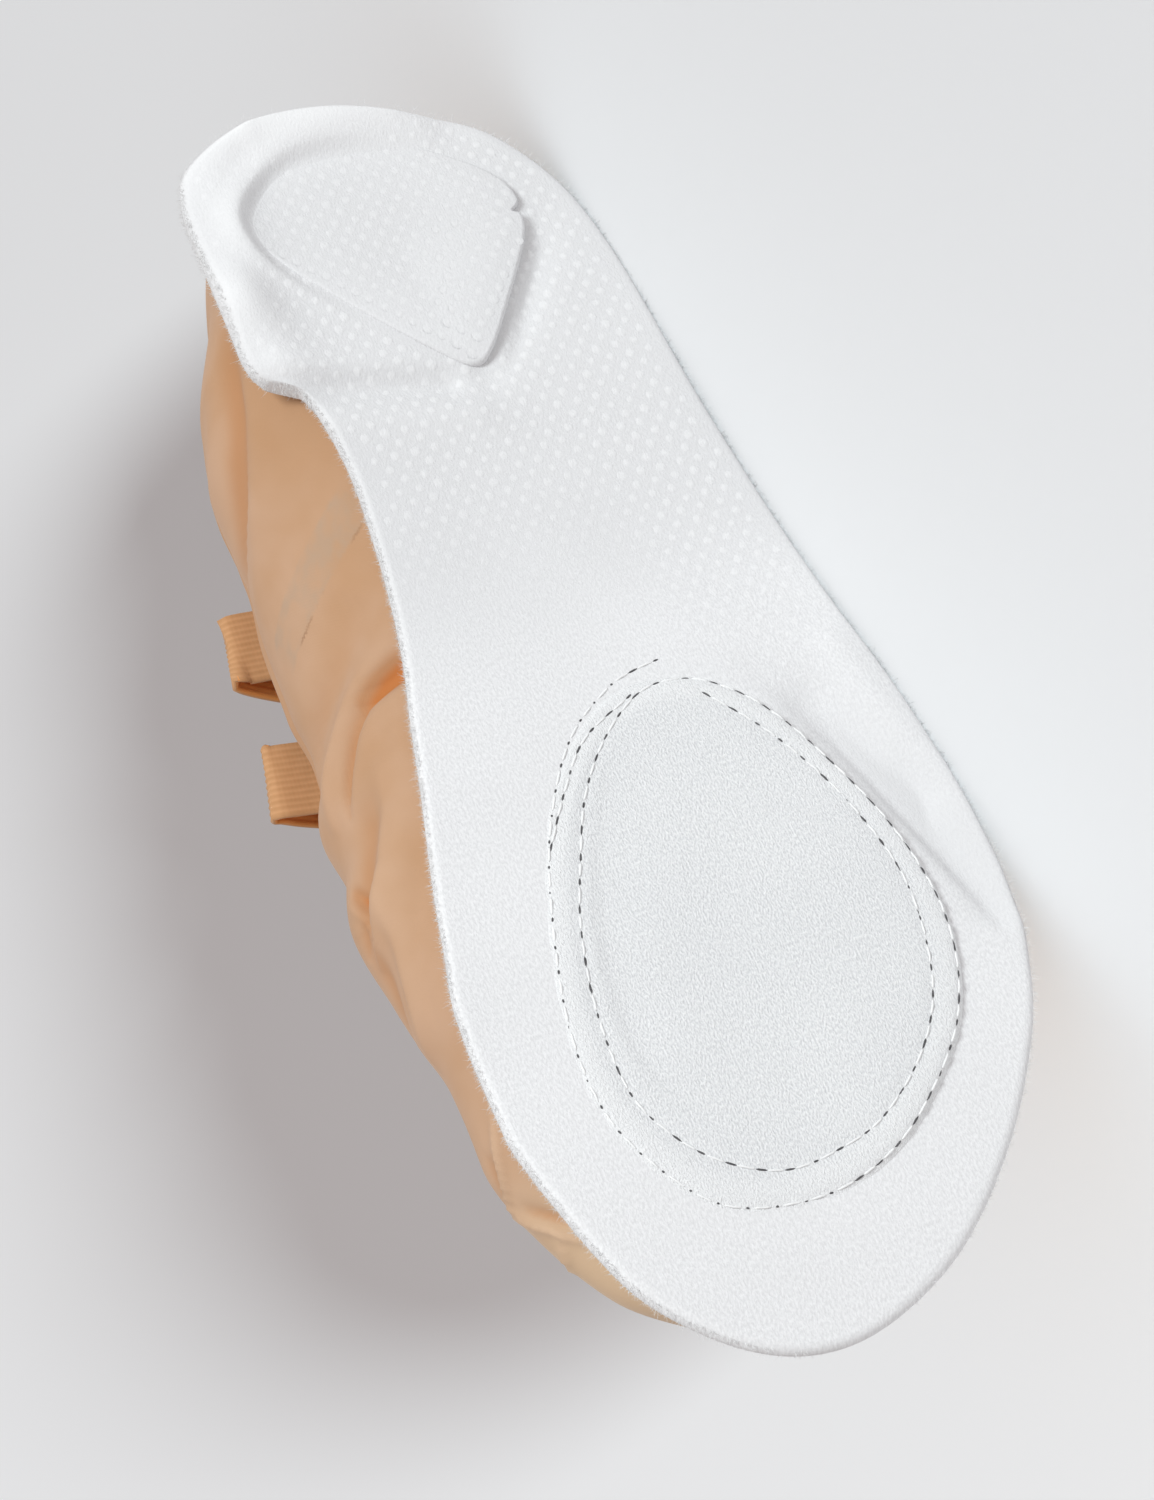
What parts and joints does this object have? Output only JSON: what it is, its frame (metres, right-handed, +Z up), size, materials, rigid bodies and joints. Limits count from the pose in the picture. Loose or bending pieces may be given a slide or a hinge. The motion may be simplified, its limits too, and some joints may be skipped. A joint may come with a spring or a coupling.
{
  "type": "canvas ballet slipper",
  "caption": "Soft ballet slipper with a padded white mesh sole, a hollow tan canvas upper, a bound collar and crossed elastic straps.",
  "frame": {"origin": "middle of the bounding box, on the floor that the shoe lies on", "axes": "+Z up from the floor, towards the inner side of the foot; -X towards the toe; -Y the way the sole faces; the collar opens to +Y"},
  "size_m": [0.231, 0.075, 0.0975],
  "materials": {
    "sole_mesh": "white knit mesh backed with thin foam, raised dots, cut fuzzy edge",
    "pad_mesh": "white brushed knit patch",
    "canvas": "tan stretch canvas, soft and slack",
    "binding_tape": "tan folded binding tape",
    "elastic": "tan ribbed elastic",
    "lining": "plain beige sock lining"
  },
  "bodies": {
    "root": {"sole": "sole_mesh", "ball_pad": "pad_mesh", "heel_pad": "pad_mesh", "upper": "canvas", "collar_binding": "binding_tape", "strap_rear": "elastic", "strap_front": "elastic", "insole": "lining"}
  },
  "joints": []
}
